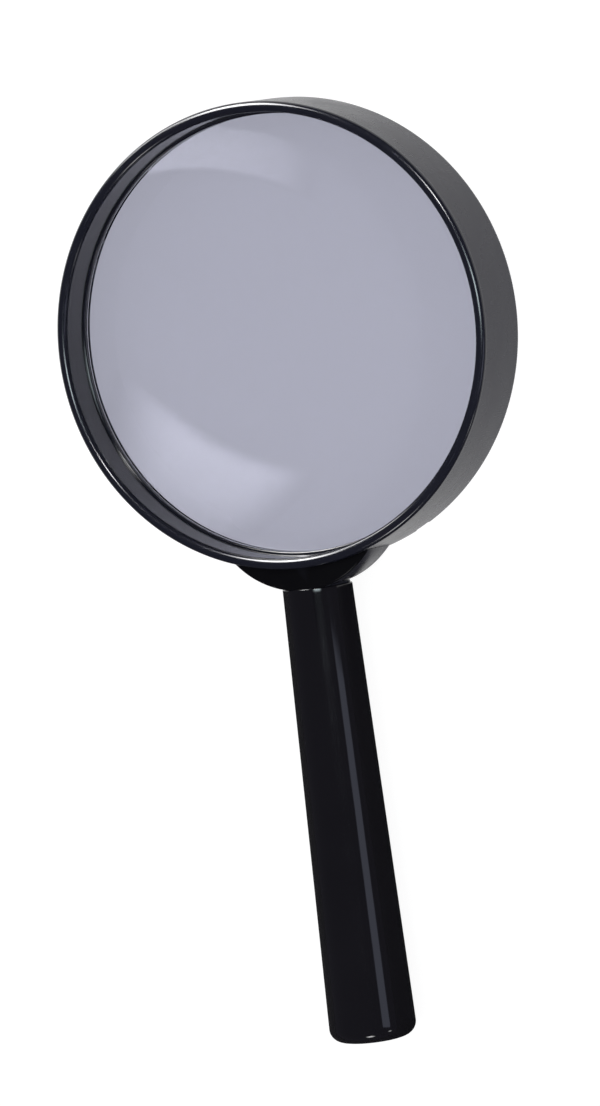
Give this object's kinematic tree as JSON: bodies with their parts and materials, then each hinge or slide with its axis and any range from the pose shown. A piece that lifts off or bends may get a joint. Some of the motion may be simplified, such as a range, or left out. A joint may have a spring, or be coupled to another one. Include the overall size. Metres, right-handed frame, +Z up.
{
  "type": "magnifying glass",
  "caption": "Hand magnifier: a large round biconvex lens snapped into a deep black plastic rim, with a crescent neck and a tapered round handle that unscrews.",
  "frame": {"origin": "under the middle of the overall length, on the surface that the magnifier lies on", "axes": "+Y from the handle's end to the far side of the rim, +Z up out of the front of the lens, +X across the lens"},
  "size_m": [0.0958, 0.1942, 0.0187],
  "materials": {
    "rim_plastic": "black moulded plastic, fine satin texture on the outer wall and polished on the front lip",
    "snap_ring_plastic": "polished black moulded plastic",
    "lens_glass": "polished clear glass with a faint grey-lavender tint",
    "stud_steel": "plated steel with a rolled thread",
    "insert_brass": "turned brass",
    "handle_plastic": "polished black moulded plastic"
  },
  "bodies": {
    "lens_frame": {"frame_ring": "rim_plastic", "retaining_ring": "snap_ring_plastic", "lens": "lens_glass", "neck_saddle": "rim_plastic", "threaded_stud": "stud_steel"},
    "screw_insert": {"handle_insert": "insert_brass"},
    "handle": {"handle_grip": "handle_plastic", "handle_end_plug": "handle_plastic"}
  },
  "joints": [
    {"name": "handle_travel", "type": "slide", "parent": "lens_frame", "child": "screw_insert", "axis": [0, -1, 0], "range_m": [0, 0.008]},
    {"name": "handle_turn", "type": "hinge", "parent": "screw_insert", "child": "handle", "pos_m": [0, -0.00282, 0.009], "axis": [0, -1, 0], "range_deg": [0, 2880]}
  ],
  "couplings": [
    {"joint": "handle_travel", "follows": "handle_turn", "m_per_rad": 0.00015915}
  ]
}
